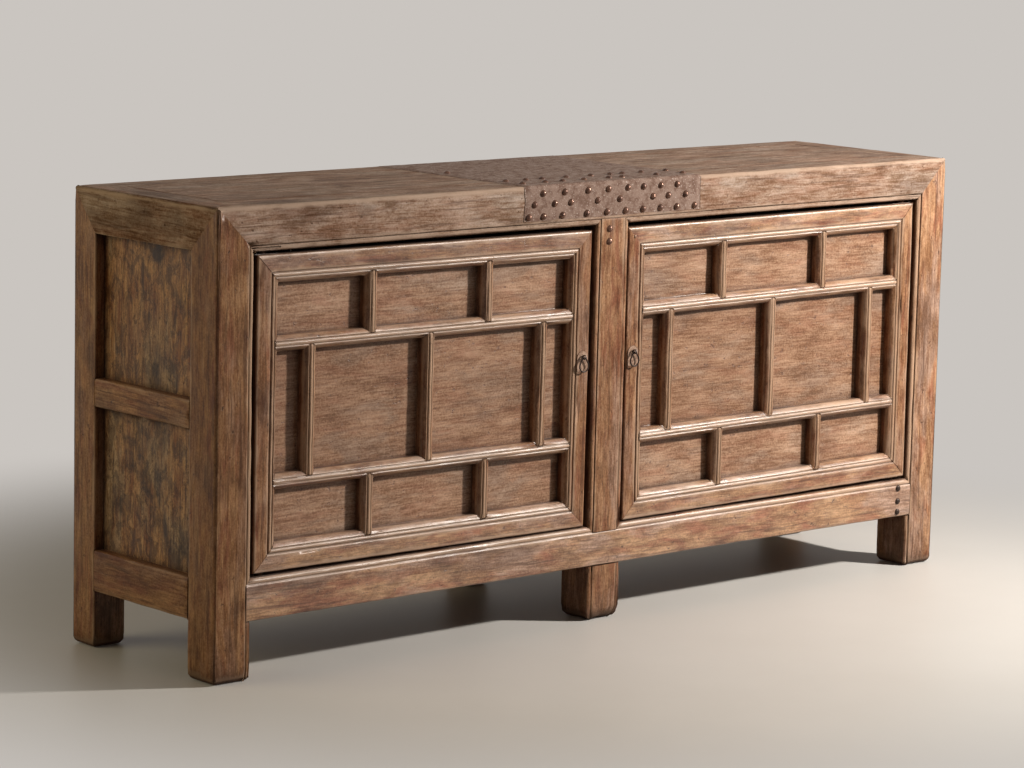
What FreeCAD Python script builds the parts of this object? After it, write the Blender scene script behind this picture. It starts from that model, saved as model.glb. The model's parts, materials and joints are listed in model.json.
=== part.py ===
import FreeCAD, Part
import math
import os

# Two-door sideboard in elm: six posts that run down into the legs, a top frame mitred three ways at
# its corners, mitred lattice doors on wooden pivots, ring pulls and a nailed sheet-iron strap.
# Millimetres, +Z up, +X along the front, -Y towards the user, origin on the floor under the middle.

# Overall size
width = 1940.0
depth = 450.0
height = 880.0
edge_round = 7.0

# Plain face and moulding shared by the corner posts and the top rail
frame_face = 74.0
moulding_width = 12.0
moulding_quirk = 2.5
moulding_fall = 5.5
moulding_bow_shares = (0.67, -0.11)

# Posts and feet
front_post_depth = 82.0
rear_post_width = 74.0
rear_post_depth = 70.0
centre_face = 64.0
centre_post_depth = 80.0
rear_centre_width = 66.0
rear_centre_depth = 66.0
stop_reach = 10.0
stop_play = 0.5
foot_wear_height = 9.0
foot_wear_inset = 5.0

# Tenons: a bar's tenon takes this share of its section
tenon_share = 0.5
tenon_length = 26.0
corner_tenon_inset = 34.0
corner_tenon_size = 22.0
corner_tenon_cover = 26.0

# Bottom frame
bottom_rail_low = 111.0
bottom_rail_face = 69.0
bottom_rail_thickness = 60.0
bottom_rear_thickness = 50.0
halving_depth = 28.0

# Sides
side_rail_thickness = 50.0
side_middle_low = 466.0
side_middle_height = 55.0
side_panel_recess = 22.0
side_panel_thickness = 10.0

# Grooves that hold the panels
groove_depth = 8.0
panel_play = 0.2

# Back
back_panel_recess = 12.0
back_panel_thickness = 10.0
back_board_count = 4

# Top
top_panel_thickness = 20.0
top_tongue_thickness = 7.0
top_tongue_cover = 6.0
batten_width = 70.0
batten_height = 34.0

# Floor and shelf
floor_thickness = 18.0
floor_rebate = 10.0
floor_board_count = 3
shelf_thickness = 18.0
shelf_board_count = 2
shelf_end_gap = 2.0
bearer_width = 50.0
bearer_height = 48.0
board_gap = 0.4

# Doors
door_thickness = 34.0
door_recess = 4.0
door_hinge_gap = 5.0
left_meeting_gap = 10.0
right_meeting_gap = 4.0
door_top_gap = 5.5
door_bottom_gap = 1.5
door_sag = 4.0
door_face = 32.5
door_edge_round = 5.0
door_mitre_depth = 11.0

# Bead, quirks and sloped shoulder shared by the door frame and its lattice
bead_width = 9.0
bead_drop = 2.5
bead_quirk = 2.0
shoulder_start = 1.0
shoulder_width = 9.0
shoulder_drop = 7.5
lattice_end_cell = 86.0
left_lattice_shift = 5.0
lattice_row_shares = (0.25, 0.75)

# Door panels
door_panel_depth = 23.5
door_panel_thickness = 8.0
door_groove = 7.0

# Wooden pivots of the doors
pivot_radius = 7.0
pivot_inset = 26.0
pivot_cover = 0.5
pivot_top_length = 15.0
pivot_bottom_length = 5.0
pivot_root = 30.0
pivot_play = 0.3

# Pulls
plate_width = 27.5
plate_height = 40.0
plate_thickness = 1.5
pull_height = 531.0
eye_radius = 4.8
eye_thickness = 1.6
eye_width = 3.0
eye_gap = 0.2
eye_above_middle = 8.5
shank_length = 14.0
shank_play = 0.1
ring_height = 28.0
ring_wire = 1.5
ring_top_radius = 6.0
ring_bottom_radius = 11.5
ring_play = 0.6

# Iron strap and its dome nails
strap_half_width = 236.0
strap_drop = 68.0
strap_thickness = 1.2
strap_play = 0.1
nail_radius = 7.0
nail_height = 5.0
front_nail_shares = (
    # drop below the top as a share of the strap's drop, then places as shares of its half width
    (0.22, (-0.80, -0.56, -0.30, -0.07, 0.15, 0.33, 0.53, 0.72)),
    (0.53, (-0.89, -0.67, -0.49, -0.19, 0.06, 0.44, 0.62, 0.82)),
    (0.88, (-0.95, -0.79, -0.58, -0.31, -0.08, 0.13, 0.33, 0.53, 0.72, 0.93)),
)
top_nail_shares = (
    # distance behind the front as a share of the depth, then places as shares of the half width
    (0.08, (-0.89, -0.64, -0.45, -0.21, 0.07, 0.22, 0.62, 0.93)),
    (0.19, (-0.89, -0.67, -0.49, -0.22, 0.06, 0.28, 0.42, 0.64, 0.93)),
    (0.58, (-0.89,)),
)
post_nail_drop = 94.0
post_nail_pitch = 25.0
post_nail_count = 2
post_nail_shift = -10.0

# One overrun serves every cut
overrun = 10.0

# Sizes that follow from the ones above
V = FreeCAD.Vector
post_width = frame_face + moulding_width
moulding_depth = moulding_quirk + moulding_fall
centre_half = centre_face / 2 + moulding_width
bottom_rail_top = bottom_rail_low + bottom_rail_face + moulding_width
opening_top = height - post_width
pull_reach = plate_thickness + eye_gap + 2 * eye_radius - door_recess
nail_reach = strap_play + strap_thickness + nail_height
front_reach = max(pull_reach, nail_reach)
left = -width / 2
right = width / 2
front = (front_reach - depth) / 2
back = front + depth
side_middle_top = side_middle_low + side_middle_height
stop_depth = door_recess + door_thickness + stop_play

door_front = front + door_recess
door_outer = left + post_width + door_hinge_gap
door_low = bottom_rail_top + door_bottom_gap + door_sag
door_high = opening_top - door_top_gap
bead_line = door_face + bead_quirk + bead_width / 2
lattice_half = bead_width / 2 + bead_quirk + shoulder_width
door_border = bead_line + lattice_half
shoulder_depth = shoulder_start + shoulder_drop
pivot_x = door_outer + pivot_inset
pivot_y = door_front + door_mitre_depth + pivot_cover + pivot_radius
eye_y = door_front - plate_thickness - eye_gap - eye_radius
eye_z = pull_height + eye_above_middle
ring_z = eye_z - eye_radius + eye_thickness + ring_play + ring_wire


def block(low, high):
    """Box between its lowest and highest corner."""
    size = high - low
    return Part.makeBox(size.x, size.y, size.z, low)


def grown(low, high, play):
    """Room for a box: the same box with play on every side."""
    margin = V(play, play, play)
    return block(low - margin, high + margin)


def outline(start, *moves):
    """Closed wire: a point draws a line to it, a pair draws an arc through the first to the second."""
    edges = []
    here = start
    for move in moves:
        if isinstance(move, tuple):
            edges.append(Part.Arc(here, move[0], move[1]).toShape())
            here = move[1]
        else:
            edges.append(Part.LineSegment(here, move).toShape())
            here = move
    edges.append(Part.LineSegment(here, start).toShape())
    return Part.Wire(edges)


def pushed(wire, along):
    """Straight solid from a flat closed wire."""
    return Part.Face(wire).extrude(along)


def mirrored(shape):
    """The same piece on the other side of the middle."""
    return shape.mirror(V(0, 0, 0), V(1, 0, 0))


def bar(low, high, axis):
    """Bar with a centred tenon on both ends along an axis."""
    middle = (low + high) * (1 / 2)
    half = (high - low) * (1 / 2)
    reach = half * tenon_share
    reach[axis] = half[axis] + tenon_length
    return block(low, high).fuse(block(middle - reach, middle + reach))


def boards(low, high, axis, count):
    """A flat field divided into separate boards across an axis."""
    pitch = (high[axis] - low[axis]) / count
    pieces = []
    for index in range(count):
        start = V(low)
        end = V(high)
        start[axis] = low[axis] + index * pitch + board_gap / 2
        end[axis] = low[axis] + (index + 1) * pitch - board_gap / 2
        pieces.append(block(start, end))
    return pieces


def tidy(shape):
    """One clean solid, or a group of them, without leftover seams."""
    clean = shape.removeSplitter()
    if len(clean.Solids) == 1:
        return clean.Solids[0]
    return Part.makeCompound(clean.Solids)


def moulding(place, start, along):
    """What is planed away in front of a quirk and bead, between a plain face and a door opening."""
    across, down = moulding_bow_shares
    bow = place(start + moulding_width * across, moulding_quirk + moulding_fall * down)
    end = place(start + moulding_width, moulding_depth)
    wire = outline(place(start, 0), place(start, moulding_quirk), (bow, end), place(start + moulding_width, 0))
    return pushed(wire, along)


# Carcass

def rounded_envelope():
    """Outside of the carcass with its worn upright and top edges."""
    whole = block(V(left, front, 0), V(right, back, height))
    worn = [edge for edge in whole.Edges if edge.BoundBox.ZMax > foot_wear_height]
    return whole.makeFillet(edge_round, worn)


def worn_foot(low_x, low_y, high_x, high_y):
    """Room of a post whose foot is worn back around its sole."""
    def ring(inset, level):
        return Part.makePolygon([
            V(low_x + inset, low_y + inset, level), V(high_x - inset, low_y + inset, level),
            V(high_x - inset, high_y - inset, level), V(low_x + inset, high_y - inset, level),
            V(low_x + inset, low_y + inset, level)])
    sole = Part.makeLoft([ring(foot_wear_inset, 0), ring(0, foot_wear_height)], True, True)
    return sole.fuse(block(V(low_x, low_y, foot_wear_height), V(high_x, high_y, height)))


def front_post_form():
    """Moulded left front post before its joints are cut."""
    def place(across, back_from_face):
        return V(left + across, front + back_from_face, 0)
    room = worn_foot(left, front, left + post_width, front + front_post_depth)
    return room.cut(moulding(place, frame_face, V(0, 0, height)))


def rear_post_form():
    """Plain left rear post before its joints are cut."""
    low = V(left, back - rear_post_depth, 0)
    high = V(left + rear_post_width, back, height)
    return block(low, high).common(worn_foot(low.x, low.y, high.x, high.y))


def centre_post_room():
    """Space of the front centre post: its face mitred under the top rail, with a tenon above."""
    half_face = centre_face / 2
    face_top = height - frame_face
    head = outline(V(-centre_half, front, 0), V(centre_half, front, 0), V(centre_half, front, opening_top),
                   V(half_face, front, face_top), V(-half_face, front, face_top),
                   V(-centre_half, front, opening_top))
    post = worn_foot(-centre_half, front, centre_half, front + centre_post_depth)
    post = post.common(pushed(head, V(0, centre_post_depth, 0)))
    return post.fuse(top_tenon(front + centre_post_depth / 2, face_top))


def centre_post_form():
    """Front centre post: moulded on both sides, with stops behind the doors."""
    def place(across, back_from_face):
        return V(across, front + back_from_face, 0)
    planed = moulding(place, centre_face / 2, V(0, 0, height))
    stop_half = centre_half + stop_reach
    stops = block(V(-stop_half, front + stop_depth, bottom_rail_top),
                  V(stop_half, front + centre_post_depth, opening_top))
    return centre_post_room().cut([planed, mirrored(planed)]).fuse(stops)


def rear_centre_post_form():
    """Plain rear centre post with a tenon on top."""
    half = rear_centre_width / 2
    post = block(V(-half, back - rear_centre_depth, 0), V(half, back, opening_top))
    post = post.common(worn_foot(-half, back - rear_centre_depth, half, back))
    return post.fuse(top_tenon(back - rear_centre_depth / 2, opening_top))


def top_tenon(middle_y, low_z):
    """Square tenon that rises from a centre post into the top rail."""
    half = corner_tenon_size / 2
    return block(V(-half, middle_y - half, low_z), V(half, middle_y + half, height - corner_tenon_cover))


def corner_tenons():
    """Tenons of the four corner posts, hidden in the three-way mitres."""
    tenons = []
    near = corner_tenon_inset
    far = corner_tenon_inset + corner_tenon_size
    for low_y in (front + near, back - far):
        tenon = block(V(left + near, low_y, opening_top),
                      V(left + far, low_y + corner_tenon_size, height - corner_tenon_cover))
        tenons += [tenon, mirrored(tenon)]
    return tenons


def front_top_rail_room():
    """Space of the front top rail between its three-way mitres."""
    rail = block(V(left, front, opening_top), V(right, front + front_post_depth, height))
    return rail.common(mitred_front(front, post_width)).common(mitred_plan(front, front_post_depth))


def front_top_rail_form():
    """Moulded top rail before its joints are cut."""
    def place(down, back_from_face):
        return V(left, front + back_from_face, height - down)
    return front_top_rail_room().cut(moulding(place, frame_face, V(width, 0, 0)))


def mitred_front(face_y, run):
    """Room of a top rail between its mitres seen from the front or the back."""
    wire = outline(V(left, face_y, height), V(right, face_y, height),
                   V(right - run, face_y, opening_top), V(left + run, face_y, opening_top))
    return pushed(wire, V(0, math.copysign(depth / 2, -face_y), 0))


def mitred_plan(face_y, inward):
    """Room of a top rail between its mitres seen from above."""
    inner_y = face_y + inward
    wire = outline(V(left, face_y, height), V(right, face_y, height),
                   V(right - rear_post_width, inner_y, height), V(left + rear_post_width, inner_y, height))
    return pushed(wire, V(0, 0, -post_width))


def rear_top_rail_form():
    """Plain rear top rail with its three-way mitres."""
    rail = block(V(left, back - rear_post_depth, opening_top), V(right, back, height))
    return rail.common(mitred_front(back, rear_post_width)).common(mitred_plan(back, -rear_post_depth))


def side_top_rail_form():
    """Left top rail, mitred against the posts; the long rails are cut from it later."""
    wire = outline(V(left, front, height), V(left, back, height),
                   V(left, back - rear_post_depth, opening_top),
                   V(left, front + front_post_depth, opening_top))
    return pushed(wire, V(rear_post_width, 0, 0))


def front_bottom_rail_room():
    """Space of the bottom rail: it passes in front of the centre post, whose face lands on it in mitres."""
    face_top = bottom_rail_low + bottom_rail_face
    low = V(left + frame_face, front, bottom_rail_low)
    high = V(right - frame_face, front + bottom_rail_thickness, face_top)
    front_view = outline(low, V(high.x, front, low.z), V(high.x, front, face_top),
                         V(right - post_width, front, bottom_rail_top),
                         V(left + post_width, front, bottom_rail_top), V(low.x, front, face_top))
    half_face = centre_face / 2
    seat = outline(V(-half_face, front, face_top), V(half_face, front, face_top),
                   V(centre_half, front, bottom_rail_top), V(-centre_half, front, bottom_rail_top))
    notch = block(V(-centre_half, front + halving_depth, bottom_rail_low - overrun),
                  V(centre_half, high.y + overrun, bottom_rail_top + overrun))
    rail = pushed(front_view, V(0, bottom_rail_thickness, 0))
    tenons = bar(low, high, 0).cut(block(low, high))
    return rail.cut([notch, pushed(seat, V(0, moulding_depth, 0))]).fuse(tenons)


def front_bottom_rail_form():
    """Moulded bottom rail before its joints are cut."""
    def place(up, back_from_face):
        return V(left, front + back_from_face, bottom_rail_low + up)
    return front_bottom_rail_room().cut(moulding(place, bottom_rail_face, V(width, 0, 0)))


def rear_bottom_rail_form():
    """Plain rear bottom rail, notched to pass behind the rear centre post."""
    low = V(left + rear_post_width, back - bottom_rear_thickness, bottom_rail_low)
    high = V(right - rear_post_width, back, bottom_rail_top)
    half = rear_centre_width / 2
    notch = block(V(-half, low.y - overrun, low.z - overrun), V(half, back - halving_depth, high.z + overrun))
    return bar(low, high, 0).cut(notch)


def side_bar(low_z, high_z):
    """Left side rail between the front and the rear post."""
    low = V(left, front + front_post_depth, low_z)
    high = V(left + side_rail_thickness, back - rear_post_depth, high_z)
    return bar(low, high, 1)


def cross_bar(half_width, low_z, high_z):
    """Bearer between the two centre posts."""
    low = V(-half_width, front + centre_post_depth, low_z)
    high = V(half_width, back - rear_centre_depth, high_z)
    return bar(low, high, 1)


def side_panel_corners(low_z, high_z):
    """Left side panel between two rails, reaching into the grooves around it."""
    reach = groove_depth - panel_play
    low = V(left + side_panel_recess, front + front_post_depth - reach, low_z - reach)
    high = V(low.x + side_panel_thickness, back - rear_post_depth + reach, high_z + reach)
    return low, high


def back_panel_corners():
    """Left back panel, reaching into the grooves of the rear frame."""
    reach = groove_depth - panel_play
    high_y = back - back_panel_recess
    low = V(left + rear_post_width - reach, high_y - back_panel_thickness, bottom_rail_top - reach)
    high = V(-rear_centre_width / 2 + reach, high_y, opening_top + reach)
    return low, high


def top_panel_corners():
    """Left half of the top: its flush field and the tongue that enters the frame."""
    low = V(left + rear_post_width + panel_play, front + front_post_depth + panel_play,
            height - top_panel_thickness)
    high = V(-panel_play, back - rear_post_depth - panel_play, height)
    spread = V(groove_depth, groove_depth, 0)
    tongue_low = V(low.x, low.y, height - top_tongue_cover - top_tongue_thickness) - spread
    tongue_high = V(high.x, high.y + groove_depth, height - top_tongue_cover)
    return low, high, tongue_low, tongue_high


def floor_corners():
    """Field of floor boards lying in the rebates of the bottom rails."""
    inset = side_rail_thickness - floor_rebate
    low = V(left + inset, front + bottom_rail_thickness - floor_rebate, bottom_rail_top - floor_thickness)
    high = V(right - inset, back - bottom_rear_thickness + floor_rebate, bottom_rail_top)
    return low, high


def post_rooms(low_z, high_z):
    """Space of the six posts, which the floor boards are notched around."""
    rooms = []
    front_stop_half = centre_half + stop_reach
    rear_half = rear_centre_width / 2
    spans = (
        (left, left + post_width, front, front + front_post_depth),
        (right - post_width, right, front, front + front_post_depth),
        (-front_stop_half, front_stop_half, front, front + centre_post_depth),
        (left, left + rear_post_width, back - rear_post_depth, back),
        (right - rear_post_width, right, back - rear_post_depth, back),
        (-rear_half, rear_half, back - rear_centre_depth, back),
    )
    for low_x, high_x, low_y, high_y in spans:
        rooms.append(grown(V(low_x, low_y, low_z), V(high_x, high_y, high_z), board_gap))
    return rooms


def pivot_sockets():
    """Holes for the door pivots in the top and bottom rails, left and right."""
    radius = pivot_radius + pivot_play
    top_depth = pivot_top_length + pivot_play
    bottom_depth = pivot_bottom_length + pivot_play
    upper = Part.makeCylinder(radius, overrun + top_depth, V(pivot_x, pivot_y, opening_top - overrun))
    lower = Part.makeCylinder(radius, overrun + bottom_depth,
                              V(pivot_x, pivot_y, bottom_rail_top - bottom_depth))
    return [upper, mirrored(upper)], [lower, mirrored(lower)]


def iron_strap():
    """Sheet bent over the rounded front edge, down the rail and back across the top."""
    inner = edge_round + strap_play
    outer = inner + strap_thickness
    bend_y = front + edge_round
    bend_z = height - edge_round
    diagonal = math.sqrt(1 / 2)

    def at(y, z):
        return V(-strap_half_width, y, z)

    def bend(radius):
        return at(bend_y - radius * diagonal, bend_z + radius * diagonal)
    low_z = height - strap_drop
    end_y = back - edge_round
    section = outline(at(bend_y - outer, low_z), at(bend_y - outer, bend_z),
                      (bend(outer), at(bend_y, bend_z + outer)), at(end_y, bend_z + outer),
                      at(end_y, bend_z + inner), at(bend_y, bend_z + inner),
                      (bend(inner), at(bend_y - inner, bend_z)), at(bend_y - inner, low_z))
    return pushed(section, V(2 * strap_half_width, 0, 0))


def dome(seat, outward):
    """Domed nail head standing on its seat."""
    ball = (nail_radius ** 2 + nail_height ** 2) / (2 * nail_height)
    half_angle = math.degrees(math.asin(nail_radius / ball))
    cap = Part.makeSphere(ball, seat - outward * (ball - nail_height), outward, 90 - half_angle, 90, 360)
    return cap.Solids[0]


def dome_nails():
    """Dome nails through both leaves of the strap and into the centre post."""
    nails = []
    lift = strap_play + strap_thickness
    for drop_share, shares in front_nail_shares:
        for share in shares:
            seat = V(share * strap_half_width, front - lift, height - drop_share * strap_drop)
            nails.append(dome(seat, V(0, -1, 0)))
    for inward_share, shares in top_nail_shares:
        for share in shares:
            seat = V(share * strap_half_width, front + inward_share * depth, height + lift)
            nails.append(dome(seat, V(0, 0, 1)))
    for index in range(post_nail_count):
        drop = post_nail_drop + index * post_nail_pitch
        nails.append(dome(V(post_nail_shift, front, height - drop), V(0, -1, 0)))
    return Part.makeCompound(nails)


def make_carcass(parts):
    """Cut every carcass joint and store the pieces."""
    side_lower = side_panel_corners(bottom_rail_top, side_middle_low)
    side_upper = side_panel_corners(side_middle_top, opening_top)
    back_low, back_high = back_panel_corners()
    top_low, top_high, tongue_low, tongue_high = top_panel_corners()
    floor_low, floor_high = floor_corners()
    top_sockets, bottom_sockets = pivot_sockets()
    side_grooves = [grown(*side_lower, panel_play), grown(*side_upper, panel_play)]
    back_groove = grown(back_low, back_high, panel_play)
    back_grooves = [back_groove, mirrored(back_groove)]
    tongue_groove = grown(tongue_low, tongue_high, panel_play)
    top_grooves = [tongue_groove, mirrored(tongue_groove)]
    floor_room = grown(floor_low, floor_high, board_gap)
    envelope = rounded_envelope()

    batten_half = batten_width / 2
    batten_top = height - top_panel_thickness
    batten = bar(V(-batten_half, front + front_post_depth, batten_top - batten_height),
                 V(batten_half, back - rear_post_depth, batten_top), 1)
    floor_under = bottom_rail_top - floor_thickness
    floor_bearer = cross_bar(bearer_width / 2, floor_under - bearer_height, floor_under)
    shelf_bearer = cross_bar(bearer_width / 2, side_middle_top - bearer_height, side_middle_top)

    rear_centre_post = rear_centre_post_form()
    tenons = corner_tenons()
    front_top_room = front_top_rail_room().cut(tenons)
    front_top = front_top_rail_form().cut(tenons + top_grooves + top_sockets + [centre_post_room(), batten])
    rear_top = rear_top_rail_form().cut(tenons + top_grooves + back_grooves + [rear_centre_post, batten])
    side_top = side_top_rail_form().cut(tenons + top_grooves + side_grooves
                                        + [front_top_rail_room(), rear_top_rail_form()])
    front_bottom_room = front_bottom_rail_room()
    front_bottom = front_bottom_rail_form().cut(bottom_sockets + [floor_room])
    rear_bottom = rear_bottom_rail_form().cut(back_grooves + [floor_room])
    side_bottom = side_bar(bottom_rail_low, bottom_rail_top)
    side_middle = side_bar(side_middle_low, side_middle_top)

    front_post = front_post_form().cut([front_top_room, side_top, front_bottom_room, side_bottom,
                                        side_middle] + side_grooves + top_grooves)
    rear_post = rear_post_form().cut([rear_top, side_top, rear_bottom_rail_form(), side_bottom,
                                      side_middle, back_groove] + side_grooves + top_grooves)
    centre_post = centre_post_form().cut([front_bottom_room, floor_bearer, shelf_bearer])
    rear_centre_post = rear_centre_post.cut(back_grooves + [rear_bottom_rail_form(), floor_bearer,
                                                            shelf_bearer])

    parts["post_front_centre"] = centre_post
    parts["post_rear_centre"] = rear_centre_post
    parts["top_rail_front"] = front_top.common(envelope)
    parts["top_rail_rear"] = rear_top.common(envelope)
    parts["bottom_rail_front"] = front_bottom
    parts["bottom_rail_rear"] = rear_bottom
    parts["top_batten"] = batten
    parts["floor_bearer"] = floor_bearer
    parts["shelf_bearer"] = shelf_bearer
    parts["iron_strap"] = iron_strap()
    parts["dome_nails"] = dome_nails()

    floor = Part.makeCompound(boards(floor_low, floor_high, 1, floor_board_count))
    parts["floor_boards"] = floor.cut(post_rooms(floor_low.z - overrun, floor_high.z + overrun))
    shelf_inset = side_panel_recess + side_panel_thickness + shelf_end_gap
    shelf_low = V(left + shelf_inset, front + front_post_depth, side_middle_top)
    shelf_high = V(right - shelf_inset, back - rear_post_depth, side_middle_top + shelf_thickness)
    parts["shelf_boards"] = Part.makeCompound(boards(shelf_low, shelf_high, 1, shelf_board_count))

    left_pieces = {
        "post_front": front_post.common(envelope),
        "post_rear": rear_post.common(envelope),
        "top_rail": side_top.common(envelope),
        "bottom_rail": side_bottom.cut([floor_room] + side_grooves),
        "side_rail": side_middle.cut(side_grooves),
        "side_panel_lower": block(*side_lower),
        "side_panel_upper": block(*side_upper),
        "back_panel": Part.makeCompound(boards(back_low, back_high, 0, back_board_count)),
        "top_panel": block(top_low, top_high).fuse(block(tongue_low, tongue_high)),
    }
    for name, shape in left_pieces.items():
        parts[name + "_left"] = shape
        parts[name + "_right"] = mirrored(shape)


# Doors

def door_section(place):
    """Section of a door frame piece: rounded outer edge, flat face, bead in quirks, sloped shoulder."""
    curve = door_edge_round * (1 - math.sqrt(1 / 2))
    bead_start = door_face + bead_quirk
    bead_end = bead_start + bead_width
    return outline(place(0, door_edge_round), (place(curve, curve), place(door_edge_round, 0)),
                   place(door_face, 0), place(bead_start, bead_drop),
                   (place(bead_line, 0), place(bead_end, bead_drop)),
                   place(bead_end + bead_quirk, shoulder_start),
                   place(door_border, shoulder_depth), place(door_border, door_thickness),
                   place(0, door_thickness))


def stile_form(edge_x, sign):
    """Stile of the left door: runs full height behind, mitred at its ends in front."""
    def place(across, back_from_face):
        return V(edge_x + sign * across, door_front + back_from_face, door_low)
    stile = pushed(door_section(place), V(0, 0, door_high - door_low))
    inner_x = edge_x + sign * door_border
    for end_z, towards in ((door_low, 1), (door_high, -1)):
        corner = outline(V(edge_x, door_front, end_z), V(inner_x, door_front, end_z),
                         V(inner_x, door_front, end_z + towards * door_border))
        stile = stile.cut(pushed(corner, V(0, door_mitre_depth, 0)))
    return stile


def door_rail_form(inner, edge_z, sign):
    """Top or bottom rail of the left door, mitred in front, before the stiles are cut from it."""
    def place(across, back_from_face):
        return V(door_outer, door_front + back_from_face, edge_z + sign * across)
    rail = pushed(door_section(place), V(inner - door_outer, 0, 0))
    inner_z = edge_z + sign * door_border
    for end_x, towards in ((door_outer, 1), (inner, -1)):
        corner = outline(V(end_x, door_front, edge_z), V(end_x, door_front, inner_z),
                         V(end_x + towards * door_border, door_front, inner_z))
        rail = rail.cut(pushed(corner, V(0, door_mitre_depth, 0)))
    return rail


def stile_tenons(inner, low_y, high_y, low_z, high_z):
    """A pair of tenons that enter the two stiles of the left door."""
    hinge_side = door_outer + door_border
    meeting_side = inner - door_border
    return [block(V(hinge_side - tenon_length, low_y, low_z), V(hinge_side, high_y, high_z)),
            block(V(meeting_side, low_y, low_z), V(meeting_side + tenon_length, high_y, high_z))]


def door_rail_tenons(inner, edge_z, sign):
    """Tenons of a door rail, behind the mitre and in front of the panels."""
    low_z, high_z = sorted((edge_z + sign * bead_line, edge_z + sign * door_border))
    middle_y = door_front + (door_mitre_depth + door_panel_depth) / 2
    half_y = (door_panel_depth - door_mitre_depth) / 2 * tenon_share
    return stile_tenons(inner, middle_y - half_y, middle_y + half_y, low_z, high_z)


def lattice_bar(start, end, across, upright, thickness):
    """Beaded bar between two bead lines, its shoulders mitred to a point at both ends, and its room."""
    def place(along, aside, back_from_face):
        if upright:
            return V(across + aside, door_front + back_from_face, along)
        return V(along, door_front + back_from_face, across + aside)
    tip = bead_width / 2
    rim = tip + bead_quirk
    wide = lattice_half
    section = outline(place(start, -wide, shoulder_depth), place(start, -rim, shoulder_start),
                      place(start, -tip, bead_drop), (place(start, 0, 0), place(start, tip, bead_drop)),
                      place(start, rim, shoulder_start), place(start, wide, shoulder_depth),
                      place(start, wide, thickness), place(start, -wide, thickness))
    front_view = outline(place(start + tip, -tip, 0), place(start + wide, -wide, 0),
                         place(end - wide, -wide, 0), place(end - tip, -tip, 0), place(end - tip, tip, 0),
                         place(end - wide, wide, 0), place(start + wide, wide, 0), place(start + tip, tip, 0))
    run = place(end, 0, 0) - place(start, 0, 0)
    room = pushed(front_view, V(0, thickness, 0))
    return pushed(section, run).common(room), room


def lattice_lines(inner, shift):
    """Bead lines of the left door: its sides, its rows, and the shifted columns of both kinds of row."""
    left_line = door_outer + bead_line
    right_line = inner - bead_line
    low_line = door_low + bead_line
    high_line = door_high - bead_line
    rows = [low_line + share * (high_line - low_line) for share in lattice_row_shares]
    middle = (left_line + right_line) / 2
    column = middle - left_line - lattice_end_cell
    tall = [middle + shift + sign * column for sign in (-1, 0, 1)]
    short = [middle + shift + sign * column / 2 for sign in (-1, 1)]
    return (left_line, right_line), [low_line] + rows + [high_line], tall, short


def cross_bar_tenons(inner, row):
    """Tenons that carry a cross bar in both stiles."""
    half = lattice_half * tenon_share
    middle_y = door_front + (shoulder_depth + door_panel_depth) / 2
    half_y = (door_panel_depth - shoulder_depth) / 2 * tenon_share
    return stile_tenons(inner, middle_y - half_y, middle_y + half_y, row - half, row + half)


def door_panel_corners(inner, low_line, high_line):
    """Board of one row, reaching into the grooves around it and behind the upright bars."""
    reach = door_groove - panel_play
    low = V(door_outer + door_border - reach, door_front + door_panel_depth, low_line + lattice_half - reach)
    high = V(inner - door_border + reach, low.y + door_panel_thickness,
             high_line - lattice_half + reach)
    return low, high


def panel_groove(low, high):
    """Groove for a door panel: play around its edges, none against its faces."""
    margin = V(panel_play, 0, panel_play)
    return block(low - margin, high + margin)


def pivots():
    """Wooden pins that the hinge stile turns on, rooted in its ends."""
    upper = Part.makeCylinder(pivot_radius, pivot_root + door_top_gap + pivot_top_length,
                              V(pivot_x, pivot_y, door_high - pivot_root))
    length = door_bottom_gap + door_sag + pivot_bottom_length
    lower = Part.makeCylinder(pivot_radius, length + pivot_root, V(pivot_x, pivot_y, door_low - length))
    return [upper, lower]


def pull_plate(pull_x):
    """Plate with an arched top behind the ring pull."""
    half = plate_width / 2
    low = pull_height - plate_height / 2
    high = pull_height + plate_height / 2

    def at(x, z):
        return V(pull_x + x, door_front, z)
    wire = outline(at(-half, low), at(half, low), at(half, high - half),
                   (at(0, high), at(-half, high - half)))
    return pushed(wire, V(0, -plate_thickness, 0))


def shank(pull_x, play):
    """Flat shank of the pull's eye, from the eye into the stile, with play around it."""
    half = V(eye_width / 2 + play, 0, eye_thickness + play)
    middle = V(pull_x, eye_y + eye_radius - eye_thickness, eye_z)
    return block(middle - half, V(pull_x, door_front + shank_length, eye_z) + half)


def pull_staple(pull_x):
    """Strip bent into an eye that the ring hangs in, its two ends closed into one shank."""
    start = V(pull_x - eye_width / 2, eye_y, eye_z)
    along = V(1, 0, 0)
    hole = Part.makeCylinder(eye_radius - eye_thickness, eye_width, start, along)
    return Part.makeCylinder(eye_radius, eye_width, start, along).fuse(shank(pull_x, 0)).cut(hole)


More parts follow.
